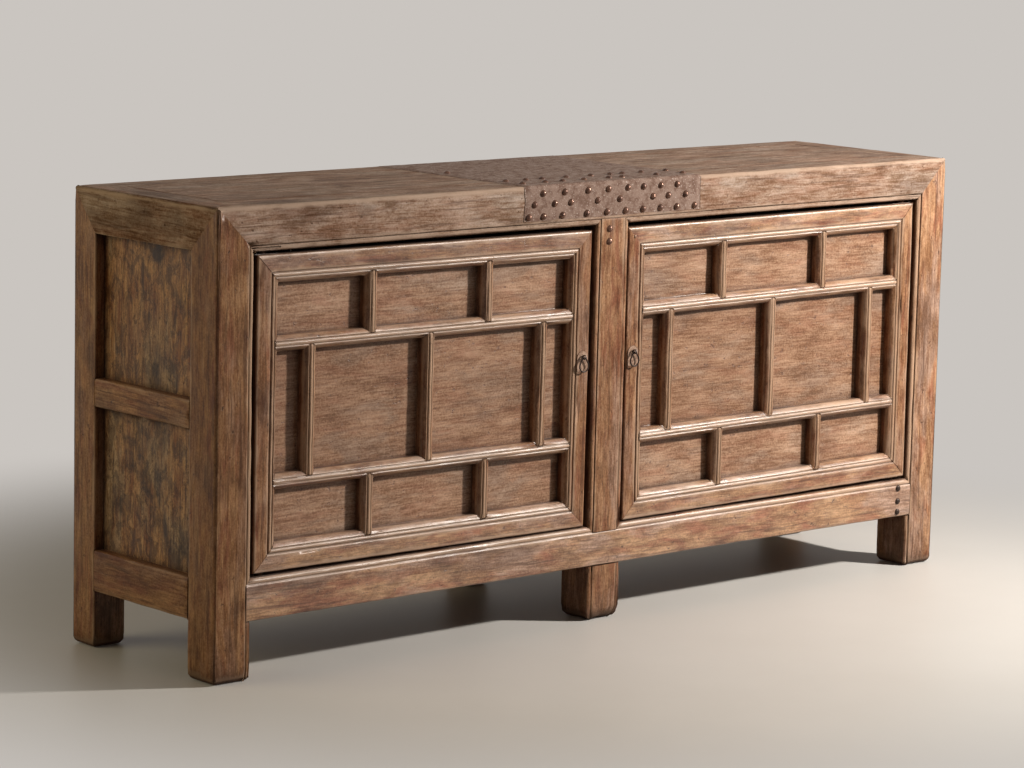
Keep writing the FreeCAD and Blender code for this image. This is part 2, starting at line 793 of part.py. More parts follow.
def pull_ring(pull_x):
    """Pear-shaped wire ring whose narrow top lies in the eye."""
    top_centre = ring_z - ring_top_radius
    bottom_centre = ring_z - ring_height + ring_bottom_radius
    rise = (ring_bottom_radius - ring_top_radius) / (top_centre - bottom_centre)
    side = math.sqrt(1 - rise ** 2)

    def at(x, z):
        return V(pull_x + x, eye_y, z)

    def touch(sign, centre, radius):
        return at(sign * radius * side, centre + radius * rise)
    top_left = touch(-1, top_centre, ring_top_radius)
    top_right = touch(1, top_centre, ring_top_radius)
    bottom_left = touch(-1, bottom_centre, ring_bottom_radius)
    bottom_right = touch(1, bottom_centre, ring_bottom_radius)
    path = Part.Wire([
        Part.Arc(top_left, at(0, ring_z), top_right).toShape(),
        Part.LineSegment(top_right, bottom_right).toShape(),
        Part.Arc(bottom_right, at(0, ring_z - ring_height), bottom_left).toShape(),
        Part.LineSegment(bottom_left, top_left).toShape()])
    start = V(rise, 0, side)
    circle = Part.Wire(Part.Circle(top_left, start, ring_wire).toShape())
    return path.makePipeShell([circle], True, False)


def make_door(meeting_gap, lattice_shift):
    """Cut the joints of the left door and let its meeting side sag."""
    inner = -centre_half - meeting_gap
    sides, rows, tall, short = lattice_lines(inner, lattice_shift)
    panels = [door_panel_corners(inner, low, high) for low, high in zip(rows, rows[1:])]
    grooves = [panel_groove(*corners) for corners in panels]
    tall_pairs = [lattice_bar(rows[1], rows[2], column, True, door_panel_depth) for column in tall]
    short_pairs = [lattice_bar(low, high, column, True, door_panel_depth)
                   for low, high in ((rows[0], rows[1]), (rows[2], rows[3])) for column in short]
    uprights = [room for _, room in tall_pairs + short_pairs]
    cross_bars = []
    cross_rooms = []
    for row in rows[1:-1]:
        cross, cross_room = lattice_bar(sides[0], sides[1], row, False, door_thickness)
        cross_bars.append(cross.cut(uprights + grooves).fuse(cross_bar_tenons(inner, row)))
        cross_rooms.append(cross_room)

    low_tenons = door_rail_tenons(inner, door_low, 1)
    high_tenons = door_rail_tenons(inner, door_high, -1)
    hinge_stile = stile_form(door_outer, 1)
    meeting_stile = stile_form(inner, -1)
    room = [hinge_stile, meeting_stile] + uprights + grooves
    joints = cross_bars + cross_rooms + grooves + low_tenons + high_tenons
    pull_x = inner - (door_edge_round + door_face) / 2
    seat = shank(pull_x, shank_play)

    pieces = {
        "hinge_stile": hinge_stile.cut(joints),
        "meeting_stile": meeting_stile.cut(joints + [seat]),
        "bottom_rail": door_rail_form(inner, door_low, 1).cut(room).fuse(low_tenons),
        "top_rail": door_rail_form(inner, door_high, -1).cut(room).fuse(high_tenons),
        "cross_bar_lower": cross_bars[0],
        "cross_bar_upper": cross_bars[1],
        "tall_bars": Part.makeCompound([upright for upright, _ in tall_pairs]),
        "short_bars": Part.makeCompound([upright for upright, _ in short_pairs]),
        "panel_lower": block(*panels[0]),
        "panel_middle": block(*panels[1]),
        "panel_upper": block(*panels[2]),
        "pull_plate": pull_plate(pull_x).cut(seat),
        "pull_staple": pull_staple(pull_x),
        "pull_ring": pull_ring(pull_x),
    }
    sag_angle = math.degrees(math.asin(door_sag / (inner - door_outer)))
    hinge_corner = V(door_outer, door_front, door_low)
    door = {name: shape.rotated(hinge_corner, V(0, 1, 0), sag_angle) for name, shape in pieces.items()}
    door["hinge_stile"] = door["hinge_stile"].fuse(pivots())
    return door


def make_doors(parts):
    """Store the left door, and the right door as a mirror image with its own gap and even columns."""
    for name, shape in make_door(left_meeting_gap, left_lattice_shift).items():
        parts["door_left_" + name] = shape
    for name, shape in make_door(right_meeting_gap, 0).items():
        parts["door_right_" + name] = mirrored(shape)


def main():
    """Build every piece and write one file for each."""
    os.makedirs("parts", exist_ok=True)
    parts = {}
    make_carcass(parts)
    make_doors(parts)
    for name, shape in parts.items():
        tidy(shape).exportStep("parts/" + name + ".step")


main()
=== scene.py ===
"""Looks of a two-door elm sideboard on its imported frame: worn wood, sheet iron, nails and ring pulls."""

import json
import math
import random

import bmesh
import bpy
import numpy as np
from mathutils import Matrix, Vector, noise
from mathutils.bvhtree import BVHTree

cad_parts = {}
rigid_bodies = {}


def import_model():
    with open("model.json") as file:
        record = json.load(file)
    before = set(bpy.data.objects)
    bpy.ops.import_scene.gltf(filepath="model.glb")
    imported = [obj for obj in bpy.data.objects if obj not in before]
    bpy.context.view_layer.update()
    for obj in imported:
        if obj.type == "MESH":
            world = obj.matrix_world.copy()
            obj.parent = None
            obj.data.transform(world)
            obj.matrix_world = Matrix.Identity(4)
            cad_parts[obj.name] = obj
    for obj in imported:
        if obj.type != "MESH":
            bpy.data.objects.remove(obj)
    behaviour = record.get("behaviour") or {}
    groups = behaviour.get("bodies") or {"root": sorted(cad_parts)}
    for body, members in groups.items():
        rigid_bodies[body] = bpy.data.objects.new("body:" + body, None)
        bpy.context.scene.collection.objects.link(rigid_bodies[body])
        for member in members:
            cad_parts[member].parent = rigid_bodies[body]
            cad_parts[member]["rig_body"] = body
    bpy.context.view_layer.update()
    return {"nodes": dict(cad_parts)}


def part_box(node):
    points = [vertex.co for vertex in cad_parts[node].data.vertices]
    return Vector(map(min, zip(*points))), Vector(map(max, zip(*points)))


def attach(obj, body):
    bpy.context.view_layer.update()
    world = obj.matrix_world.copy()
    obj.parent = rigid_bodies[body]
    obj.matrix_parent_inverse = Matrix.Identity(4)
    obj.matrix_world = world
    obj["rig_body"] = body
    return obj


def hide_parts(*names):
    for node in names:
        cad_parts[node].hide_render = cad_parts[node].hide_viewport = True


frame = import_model()

# Lengths, in metres
weld_distance = 0.00001
contact_distance = 0.0006
free_round = 0.0045
joint_round = 0.00015
grain_step = 0.025
cross_step = 0.006
# How far in from a bare edge the edge is worn down and lightened; the lightening is partly a painted
# highlight
wear_and_highlight_reach = 0.0075
metal_reach = 0.02
# How far from a crease its painted shade reaches
crease_reach = 0.0025
edge_search_reach = 1.0
plane_wave = 0.0007
plane_wave_length = 0.16
ripple = 0.0004
ripple_length = 0.035
edge_loss = 0.0016
edge_loss_length = 0.045
log_reach = 5.0
pith_spread = 0.09
pith_depth = 0.14
bump_depth = 0.0007
# How far ambient occlusion looks around for the painted shade, with some grime, in recesses
shade_and_grime_reach = 0.045
foot_wear_height = 0.03
foot_wear_depth = 0.0012
centre_foot_wear_depth = 0.009

# Strap of sheet iron, and the ways in from its left, right, lower and rear borders
strap_node = "iron_strap"
strap_border = 0.005
strap_border_sink = 0.0011
strap_dent = 0.0003
strap_dent_length = 0.02
strap_ragged = 0.003
strap_ragged_length = 0.03
strap_outer_share = 0.1
strap_inward = (Vector((1, 0, 0)), Vector((-1, 0, 0)), Vector((0, 0, 1)), Vector((0, -1, 0)))

# Small nails in the bottom rail and in the right door, and the radius and height of each ring of a nail head
front_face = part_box("bottom_rail_front")[0].y
door_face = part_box("door_right_top_rail")[0].y
rail_nail_across = 0.857
rail_nail_heights = (0.174, 0.146, 0.123)
rail_nail_radius = 0.0066
door_nail_across = 0.0636
door_nail_height = 0.7656
door_nail_radius = 0.0032
nail_profile_shares = ((0.8, -0.35), (1.0, 0.0), (0.95, 0.2), (0.78, 0.38), (0.5, 0.5), (0.2, 0.55))
nail_sides = 20

# Angles, in radians
flat_angle = math.radians(0.6)
edge_angle = math.radians(34)
shade_angle = math.radians(32)
bow_angle = math.radians(8)
crease_angle = math.radians(14)

# Shares and counts
face_round_share = 0.42
foot_wear_share = 0.42
bevel_steps = 3
pith_tilt_share = 0.02
pith_depth_shares = (0.3, 1.0)
edge_sample_shares = (0.2, 0.5, 0.8)
edge_loss_share = 0.25
mitre_share = 0.3
cover_sample_share = 0.3
noise_middle_share = 0.5

# Camera of the photograph
camera_place = Vector((-4.9172, -5.4622, 1.612))
camera_yaw = math.radians(41.641)
camera_pitch = math.radians(-9.021)
camera_roll = math.radians(1.333)
camera_lens = 129.21
camera_sensor = 36.0

# Lamps and backdrop
key_place = Vector((2.03, -1.90, 1.83))
lamp_aim = Vector((0.0, -0.2, 0.45))
key_size = 0.2
key_power = 112.0
key_tint = (1.0, 0.95, 0.89)
fill_place = Vector((-3.4, 1.2, 1.5))
fill_size = 2.0
fill_power = 22.0
fill_tint = (1.0, 0.85, 0.53)
sky_strength = 0.06
sky_tint = (1.0, 0.91, 0.8, 1.0)
ground_strength = 1.0

# Boards set darker or lighter than the rest, whose tones are drawn from the spread. These set tones are
# partly the boards' own and partly painted light: they darken boards at the left, where the lamp's light
# falls off, and lighten boards at the right
tone_spread = 1.0
board_tones_and_painted_falloff = {
    "post_front_left": -1.3,
    "post_front_right": 1.9,
    "post_front_centre": 0.0,
    "top_rail_front": 0.6,
    "top_rail_left": 0.0,
    "top_rail_right": 0.0,
    "top_rail_rear": 0.0,
    "top_panel_left": 0.4,
    "top_panel_right": 0.6,
    "bottom_rail_front": 2.8,
    "door_left_bottom_rail": 1.9,
    "door_left_top_rail": -1.8,
    "door_left_meeting_stile": -1.2,
    "door_right_bottom_rail": 1.8,
    "door_right_top_rail": 1.8,
    "door_right_hinge_stile": -0.5,
    "door_right_meeting_stile": -0.7,
}

# Pieces that have a wood of their own, by how their names begin
own_woods = {
    "side_panel": "elm_side",
    "side_rail": "elm_post",
    "bottom_rail_left": "elm_post",
    "bottom_rail_right": "elm_post",
    "post_front_left": "elm_post",
    "post_rear": "elm_post",
    "top_": "elm_top",
}

upright_words = ("bars", "side_panel", "back_panel")
metal_slots = ("sheet_iron", "dark_iron", "aged_brass")
axes = (0, 1, 2)
axis_z = axes[-1]

# Sockets of a colour mix: its share, first and second colour, and its result
mix_inputs = (0, 6, 7)
mix_output = 2

# Curve between display values and linear light
display_levels = 255
dim_limit_share = 0.04045
dim_slope = 12.92
curve_lift_share = 0.055
curve_power = 2.4


def colour(red, green, blue):
    """A colour from its display values of 0 to 255, as the linear colour that shaders take."""
    linear = []
    for value in (red, green, blue):
        share = value / display_levels
        curved = ((share + curve_lift_share) / (1 + curve_lift_share)) ** curve_power
        linear.append(share / dim_slope if share <= dim_limit_share else curved)
    return (*linear, 1.0)


# Figures of the wood: cells in a metre along the grain and across it, then detail, roughness and distortion
figures = {
    "streaks": ((8.0, 58.0, 58.0), (5.0, 0.66, 0.5)),
    "fibres": ((20.0, 290.0, 290.0), (3.0, 0.68, 0.3)),
    "lines": ((6.0, 130.0, 130.0), (4.0, 0.62, 0.9)),
    "reds": ((9.0, 40.0, 40.0), (5.0, 0.64, 0.5)),
    "greys": ((5.0, 16.0, 16.0), (5.0, 0.62, 0.4)),
    "blotches": ((9.0, 19.0, 19.0), (7.0, 0.68, 0.4)),
    "stains": ((5.0, 9.0, 9.0), (7.0, 0.68, 0.5)),
    "flakes": ((24.0, 46.0, 46.0), (9.0, 0.80, 0.6)),
    "grit": ((240.0, 270.0, 270.0), (3.0, 0.65, 0.0)),
    "specks": ((70.0, 105.0, 105.0), (4.0, 0.66, 0.0)),
}
light_figures = ("streaks", "fibres", "blotches", "grit")

# Where each figure starts and ends to show, and for some how much shows at each end
red_span = (0.44, 0.66)
grey_span = (0.47, 0.62)
light_span = (0.39, 0.61, 0.40, 1.55)
line_span = (0.53, 0.63)
stain_span = (0.49, 0.68)
flake_span = (0.47, 0.56)
speck_span = (0.63, 0.70, 0.0, 0.75)
# Rubbed edges, lightened partly as a painted highlight
rub_and_highlight_span = (0.42, 1.05, 0.0, 0.75)
# Painted shade with some grime: in recesses, found by ambient occlusion, and along creases
deep_shade_and_grime_span = (0.90, 0.32, 0.0, 0.8)
thin_shade_and_grime_span = (0.82, 0.30, 0.0, 0.9)
crease_span = (0.25, 1.1, 0.0, 0.5)
gloss_span = (0.3, 0.7, 0.24, 0.40)
tone_share = 0.12
fade_shares = (0.78, 1.0, 1.22)
# Patches in the rubbed edges that are partly painted highlights
rub_and_highlight_patch_share = 1.8
# Patches and ambient-occlusion samples of the painted shade with grime
shade_and_grime_patch_share = 0.9
shade_and_grime_samples = 6
grit_rough_share = 0.1
# How much rougher the grime under the painted shade makes the wood
shade_and_grime_rough_share = 0.35
speck_depth_share = 0.7
flake_depth_share = 0.5
height_shares = {"fibres": 0.4, "streaks": 0.3, "lines": 0.3, "blotches": 0.5, "grit": 0.25}
bump_share = 0.8

# How much streaks, fibres, blotches and grit lighten and darken each wood
frame_shares = (0.25, 0.28, 0.27, 0.20)
panel_shares = (0.18, 0.30, 0.26, 0.26)
side_shares = (0.28, 0.34, 0.16, 0.22)

# How much grain lines, smudges and flaked finish darken each wood
frame_mark_shares = (0.45, 0.5, 0.22)
panel_mark_shares = (0.24, 0.34, 0.05)
top_mark_shares = (0.45, 0.45, 0.15)
side_mark_shares = (0.5, 0.95, 0.6)

# Woods, each with its dark, warm, red and grey tones, its rubbed edges that are lightened partly as a
# painted highlight, its wax, and where painted shade with some grime starts in its recesses
# Colour of the painted shade and grime in recesses and creases
shade_and_grime_colour = colour(46, 26, 17)
wood_looks = {
    "elm_frame": dict(
        tones=(colour(68, 39, 26), colour(178, 133, 96), colour(152, 96, 68), colour(179, 141, 117)),
        light_shares=frame_shares, mark_shares=frame_mark_shares,
        rub_and_highlight=colour(210, 177, 150), wax=0.8, shade_and_grime_span=deep_shade_and_grime_span,
    ),
    "elm_upright": dict(
        tones=(colour(66, 38, 25), colour(180, 134, 98), colour(154, 99, 71), colour(176, 137, 112)),
        light_shares=frame_shares, mark_shares=frame_mark_shares,
        rub_and_highlight=colour(208, 173, 144), wax=0.25, shade_and_grime_span=deep_shade_and_grime_span,
    ),
    "elm_post": dict(
        tones=(colour(62, 37, 22), colour(180, 135, 95), colour(156, 104, 74), colour(172, 132, 103)),
        light_shares=frame_shares, mark_shares=frame_mark_shares,
        rub_and_highlight=colour(206, 172, 142), wax=0.2, shade_and_grime_span=deep_shade_and_grime_span,
    ),
    "elm_panel": dict(
        tones=(colour(92, 58, 43), colour(179, 139, 110), colour(169, 124, 96), colour(170, 137, 113)),
        light_shares=panel_shares, mark_shares=panel_mark_shares,
        rub_and_highlight=colour(200, 166, 138), wax=0.45, shade_and_grime_span=thin_shade_and_grime_span,
    ),
    "elm_top": dict(
        tones=(colour(80, 55, 43), colour(180, 149, 128), colour(166, 129, 107), colour(178, 152, 133)),
        light_shares=frame_shares, mark_shares=top_mark_shares,
        rub_and_highlight=colour(206, 178, 156), wax=0.002, shade_and_grime_span=thin_shade_and_grime_span,
    ),
    "elm_side": dict(
        tones=(colour(38, 21, 11), colour(188, 141, 96), colour(144, 94, 57), colour(176, 142, 108)),
        light_shares=side_shares, mark_shares=side_mark_shares,
        rub_and_highlight=colour(182, 140, 92), wax=0.3, shade_and_grime_span=deep_shade_and_grime_span,
    ),
    "inner_board": dict(
        tones=(colour(80, 54, 38), colour(168, 128, 96), colour(154, 110, 82), colour(150, 122, 98)),
        light_shares=frame_shares, mark_shares=frame_mark_shares,
        rub_and_highlight=colour(200, 166, 136), wax=0.3, shade_and_grime_span=thin_shade_and_grime_span,
    ),
}

# Clouds and pits of the metals: detail and roughness, and where they start and end to show
cloud_shape = (5.0, 0.65)
pit_shape = (2.0, 0.5)
pits_to_cloud = 5
cloud_span = (0.40, 0.66)
pit_span = (0.58, 0.70, 0.0, 0.6)
bright_span = (0.40, 0.28, 0.0, 0.7)
dull_span = (0.3, 0.7)
dull_share = 0.2
pit_depth_share = 0.4
metal_bump_share = 0.5

# Metals, each with its base, dark and bright tones, and clouds in a metre as mottle
metal_looks = {
    "sheet_iron": dict(
        tones=(colour(164, 139, 126), colour(130, 103, 90), colour(236, 219, 209)),
        metallic=0.0, polish=0.005, roughness=0.34, mottle=70.0,
    ),
    "dark_iron": dict(
        tones=(colour(128, 92, 74), colour(76, 50, 40), colour(190, 158, 136)),
        metallic=0.5, polish=0.5, roughness=0.2, mottle=140.0,
    ),
    "pull_iron": dict(
        tones=(colour(62, 44, 35), colour(32, 21, 16), colour(124, 98, 82)),
        metallic=0.4, polish=0.5, roughness=0.3, mottle=140.0,
    ),
    "aged_brass": dict(
        tones=(colour(196, 162, 138), colour(134, 102, 83), colour(236, 214, 196)),
        metallic=0.35, polish=0.5, roughness=0.34, mottle=130.0,
    ),
}

# Floor, and how far out it turns into even ground
floor_reach = 40.0
floor_near = 0.9
floor_far = 2.0
floor_cells = (2.0, 2.0, 2.0)
floor_shape = (6.0, 0.6)
floor_roughness = 0.45
floor_polish = 0.2
floor_light = colour(230, 227, 222)
floor_dark = colour(219, 215, 209)
ground_colour = colour(202, 197, 192)
bounce_colour = colour(108, 100, 91)


# Building shader nodes

def node(tree, kind, inputs=None, **settings):
    """A shader node with its settings and its inputs, each a value or an output of another node."""
    made = tree.nodes.new(kind)
    for key, value in settings.items():
        setattr(made, key, value)
    for key, value in (inputs or {}).items():
        if isinstance(value, bpy.types.NodeSocket):
            tree.links.new(value, made.inputs[key])
        else:
            made.inputs[key].default_value = value
    return made


def mix(tree, share, first, second, blend="MIX"):
    """The first colour with a share of the second one."""
    inputs = dict(zip(mix_inputs, (share, first, second)))
    return node(tree, "ShaderNodeMix", inputs, data_type="RGBA", blend_type=blend).outputs[mix_output]


def calc(tree, operation, first, second=0.0, clamp=False):
    """The result of one operation on two numbers."""
    made = node(tree, "ShaderNodeMath", {0: first, 1: second}, operation=operation, use_clamp=clamp)
    return made.outputs[0]


def between(tree, value, low, high, start=0.0, end=1.0):
    """The value taken smoothly from start to end as it goes from low to high."""
    made = node(
        tree, "ShaderNodeMapRange",
        {"Value": value, "From Min": low, "From Max": high, "To Min": start, "To Max": end},
        interpolation_type="SMOOTHSTEP",
    )
    return made.outputs["Result"]


def scaled(tree, vector, scale):
    """The vector with each of its parts multiplied by that of the scale."""
    return node(tree, "ShaderNodeVectorMath", {0: vector, 1: scale}, operation="MULTIPLY").outputs["Vector"]


def grains(tree, vector, detail, rough, distortion=0.0):
    """Noise with cells one unit of the vector wide."""
    inputs = {"Vector": vector, "Scale": 1.0, "Detail": detail, "Roughness": rough, "Distortion": distortion}
    return node(tree, "ShaderNodeTexNoise", inputs).outputs["Fac"]


def attribute(tree, name, output):
    """A value that the mesh stores at its corners."""
    return node(tree, "ShaderNodeAttribute", attribute_name=name).outputs[output]


def new_material(name):
    """A material, its node tree and the surface node that its output shows."""
    made = bpy.data.materials.new(name)
    made.use_nodes = True
    tree = made.node_tree
    tree.nodes.clear()
    surface = node(tree, "ShaderNodeBsdfPrincipled")
    output = node(tree, "ShaderNodeOutputMaterial")
    tree.links.new(surface.outputs[0], output.inputs["Surface"])
    return made, tree, surface


def plus(tree, value, other, share, clamp=False):
    """The value with a share of another one added."""
    return calc(tree, "ADD", value, calc(tree, "MULTIPLY", other, share), clamp)


def summed(tree, figure, shares):
    """The sum of some figures, each by its share."""
    total = 0.0
    for key, share in shares.items():
        total = plus(tree, total, figure[key], share)
    return total


def add_bump(tree, surface, height, strength_share):
    """Makes a surface look uneven by a height."""
    inputs = {"Strength": strength_share, "Distance": bump_depth, "Height": height}
    tree.links.new(node(tree, "ShaderNodeBump", inputs).outputs[0], surface.inputs["Normal"])


def wood_figures(tree):
    """The figures of the wood, laid along its grain."""
    grain = attribute(tree, "grain", "Vector")
    figure = {}
    for key, (cells, shape) in figures.items():
        figure[key] = grains(tree, scaled(tree, grain, cells), *shape)
    return figure


def plain_wood(tree, figure, tones, light_shares):
    """Warm wood with red and grey streaks, made lighter and darker by its figures and its board's tone."""
    warm, red, grey = tones
    base = mix(tree, between(tree, figure["reds"], *red_span), warm, red)
    base = mix(tree, between(tree, figure["greys"], *grey_span), base, grey)
    light = between(tree, summed(tree, figure, dict(zip(light_figures, light_shares))), *light_span)
    # The board's tone, which for some boards is partly painted light
    light = calc(tree, "MULTIPLY", light, plus(tree, 1.0, attribute(tree, "tone", "Fac"), tone_share))
    faded = [calc(tree, "POWER", light, share) for share in fade_shares]
    tint = node(tree, "ShaderNodeCombineXYZ", dict(enumerate(faded))).outputs[0]
    return mix(tree, 1.0, base, tint, "MULTIPLY")


def rubbed_and_highlit_wood(tree, base, patchy, rub_and_highlight):
    """Wood whose outer edges are lightened in patches: rubbed bare, and partly a painted highlight."""
    # Lightens the wood near bare edges: rubbed wood, and partly a painted highlight
    rubbed = plus(tree, attribute(tree, "rub_and_highlight_nearness", "Fac"), patchy, rub_and_highlight_patch_share)
    return mix(tree, between(tree, rubbed, *rub_and_highlight_span), base, rub_and_highlight)


def wood_shade_and_grime(tree, patchy, shade_and_grime_span):
    """How much the recesses and creases are darkened: painted shade, partly grime."""
    sky = node(tree, "ShaderNodeAmbientOcclusion", {"Distance": shade_and_grime_reach}, samples=shade_and_grime_samples)
    closed = plus(tree, sky.outputs["AO"], patchy, -shade_and_grime_patch_share)
    folded = plus(tree, attribute(tree, "crease", "Fac"), patchy, shade_and_grime_patch_share)
    return calc(tree, "MAXIMUM", between(tree, closed, *shade_and_grime_span), between(tree, folded, *crease_span))


def wood_material(name, tones, light_shares, mark_shares, rub_and_highlight, wax, shade_and_grime_span):
    """Old waxed elm: grain lines, fibres, smudges, a flaked finish, painted shade with some grime in
    recesses and creases, and rubbed edges lightened partly as painted highlights.
    """
    dark, *other_tones = tones
    line_share, stain_share, flake_share = mark_shares
    made, tree, surface = new_material(name)
    figure = wood_figures(tree)
    lines = between(tree, figure["lines"], *line_span, 0.0, line_share)
    stains = between(tree, figure["stains"], *stain_span, 0.0, stain_share)
    flaked = between(tree, figure["flakes"], *flake_span, 0.0, flake_share)
    specks = between(tree, figure["specks"], *speck_span)
    base = plain_wood(tree, figure, other_tones, light_shares)
    for mark in (lines, stains, flaked, specks):
        base = mix(tree, mark, base, dark)
    patchy = calc(tree, "SUBTRACT", figure["blotches"], noise_middle_share)
    # Recesses and creases darkened with painted shade and some grime, over the rubbed edges
    shade_and_grime = wood_shade_and_grime(tree, patchy, shade_and_grime_span)
    base = mix(tree, shade_and_grime, rubbed_and_highlit_wood(tree, base, patchy, rub_and_highlight), shade_and_grime_colour)
    tree.links.new(base, surface.inputs["Base Color"])
    rough = plus(tree, between(tree, figure["blotches"], *gloss_span), figure["grit"], grit_rough_share)
    tree.links.new(plus(tree, rough, shade_and_grime, shade_and_grime_rough_share, clamp=True), surface.inputs["Roughness"])
    surface.inputs["Specular IOR Level"].default_value = wax
    height = plus(tree, summed(tree, figure, height_shares), specks, -speck_depth_share)
    add_bump(tree, surface, plus(tree, height, flaked, -flake_depth_share), bump_share)
    return made


def metal_material(name, tones, metallic, polish, roughness, mottle):
    """Old sheet metal or wire: mottled patina, pits and bright rubbed spots."""
    base, dark, bright = tones
    made, tree, surface = new_material(name)
    place = node(tree, "ShaderNodeTexCoord").outputs["Object"]
    clouds = grains(tree, scaled(tree, place, (mottle,) * len(axes)), *cloud_shape)
    pits = grains(tree, scaled(tree, place, (mottle * pits_to_cloud,) * len(axes)), *pit_shape)
    blend = mix(tree, between(tree, clouds, *cloud_span), base, dark)
    blend = mix(tree, between(tree, pits, *pit_span), blend, dark)
    blend = mix(tree, between(tree, pits, *bright_span), blend, bright)
    tree.links.new(blend, surface.inputs["Base Color"])
    rough = between(tree, clouds, *dull_span, roughness, roughness + dull_share)
    tree.links.new(rough, surface.inputs["Roughness"])
    surface.inputs["Metallic"].default_value = metallic
    surface.inputs["Specular IOR Level"].default_value = polish
    add_bump(tree, surface, plus(tree, clouds, pits, -pit_depth_share), metal_bump_share)
    return made


materials = {name: wood_material(name + "_worn", **look) for name, look in wood_looks.items()}
for metal_name, metal_look in metal_looks.items():
    materials[metal_name] = metal_material(metal_name + "_worn", **metal_look)


# Finding what each node is made of and where it meets the others

def slot_of(name):
    """The name of a node's material slot."""
    return frame["nodes"][name].data.materials[0].name


def grain_axis(name):
    """The axis that a node's fibres follow: its length, or upright for bars and standing boards."""
    if any(word in name for word in upright_words):
        return axis_z
    low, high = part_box(name)
    size = high - low
    return max(axes, key=lambda axis: size[axis])


def wood_of(name):
    """The material by how a node's name begins, or that of upright frame pieces, or its slot's own."""
    own = [wood for start, wood in own_woods.items() if name.startswith(start)]
    if own:
        return materials[own[0]]
    upright = slot_of(name) == "elm_frame" and grain_axis(name) == axis_z
    return materials["elm_upright" if upright else slot_of(name)]


def metal_of(name):
    """The slot's own material, with a darker iron for the rings and staples of the pulls."""
    return materials["pull_iron" if name.endswith(("pull_ring", "pull_staple")) else slot_of(name)]


def clean_form(name):
    """A node's own faces, welded and with flat runs of triangles joined."""
    form = bmesh.new()
    form.from_mesh(frame["nodes"][name].data)
    bmesh.ops.remove_doubles(form, verts=form.verts, dist=weld_distance)
    bmesh.ops.dissolve_limit(form, angle_limit=flat_angle, verts=form.verts, edges=form.edges)
    form.edges.layers.float.new("bevel_weight_edge")
    form.faces.layers.int.new("covered")
    return form


wooden_nodes = sorted(name for name in frame["nodes"] if slot_of(name) not in metal_slots)
clean_forms = {name: clean_form(name) for name in wooden_nodes}
surfaces = {name: BVHTree.FromBMesh(form) for name, form in clean_forms.items()}
boxes = {name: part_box(name) for name in wooden_nodes}
metal_boxes = [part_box(name) for name in frame["nodes"] if slot_of(name) in metal_slots]


def near_box(point, name):
    """Whether a point lies in a node's box or touches it."""
    low, high = boxes[name]
    return all(low[axis] - contact_distance < point[axis] < high[axis] + contact_distance for axis in axes)


def touches_other(point, name):
    """Whether another wooden piece meets this one at the point."""
    for other in wooden_nodes:
        if other != name and near_box(point, other):
            if surfaces[other].find_nearest(point, contact_distance)[0] is not None:
                return True
    return False


def metal_distance(point):
    """How far a point is from the nearest box that holds metal, up to the reach of metal."""
    nearest = metal_reach
    for low, high in metal_boxes:
        apart = Vector([max(low[axis] - point[axis], point[axis] - high[axis], 0) for axis in axes])
        nearest = min(nearest, apart.length)
    return nearest


# Wearing the wooden pieces

def face_reach(face, edge):
    """How far a face goes from one of its edges."""
    start = edge.verts[0].co
    along = (edge.verts[1].co - start).normalized()
    offsets = [corner.co - start for corner in face.verts]
    return max((offset - along * offset.dot(along)).length for offset in offsets)


def slanted(ends):
    """Whether an edge runs across two axes, as a mitre does."""
    along = (ends[1] - ends[0]).normalized()
    return sum(abs(part) > mitre_share for part in along) > 1


def mark_covered(name, form):
    """Marks the faces that another wooden piece meets."""
    covered = form.faces.layers.int["covered"]
    for face in form.faces:
        middle = face.calc_center_median()
        points = [corner.co.lerp(middle, cover_sample_share) for corner in face.verts]
        face[covered] = any(touches_other(point, name) for point in [middle, *points])


def mark_edges(name, form):
    """Writes how far each outer edge is rounded, and returns the ends of bare edges and of creases."""
    weights = form.edges.layers.float["bevel_weight_edge"]
    exposed = []
    creases = []
    for edge in form.edges:
        if len(edge.link_faces) != 2 or edge.calc_face_angle() < bow_angle:
            continue
        ends = [corner.co for corner in edge.verts]
        if not edge.is_convex:
            if edge.calc_face_angle() > crease_angle:
                creases.append((ends[0].copy(), ends[1].copy()))
            continue
        points = [ends[0].lerp(ends[1], share) for share in edge_sample_shares]
        met = sum(touches_other(point, name) for point in points)
        sharp = edge.calc_face_angle() > edge_angle
        if met * 2 > len(points):
            closed = slanted(ends) and not name.startswith("door_")
            edge[weights] = joint_round / free_round if sharp and not closed else 0.0
            continue
        exposed.append((ends[0].copy(), ends[1].copy()))
        if not sharp:
            continue
        room = min(face_reach(face, edge) for face in edge.link_faces)
        edge[weights] = min(1.0, room * face_round_share / free_round)
    return exposed, creases


def rounded(name, form):
    """An object of the form whose outer edges are rounded, each by its own width."""
    mesh = bpy.data.meshes.new(name + "_plain")
    form.to_mesh(mesh)
    piece = bpy.data.objects.new(name + "_plain", mesh)
    bpy.context.scene.collection.objects.link(piece)
    bevel = piece.modifiers.new("round", "BEVEL")
    bevel.limit_method = "WEIGHT"
    bevel.width = free_round
    bevel.segments = bevel_steps
    bevel.use_clamp_overlap = False
    return piece


def cut_grid(form, axis):
    """Cuts the faces into cells, long ones along the grain and short ones across it."""
    for direction in axes:
        step = grain_step if direction == axis else cross_step
        values = [corner.co[direction] for corner in form.verts]
        normal = Vector((0, 0, 0))
        normal[direction] = 1
        first = math.floor(min(values) / step) + 1
        last = math.ceil(max(values) / step)
        for index in range(first, last):
            parts = [*form.verts, *form.edges, *form.faces]
            place = normal * index * step
            bmesh.ops.bisect_plane(form, geom=parts, dist=weld_distance, plane_co=place, plane_no=normal)


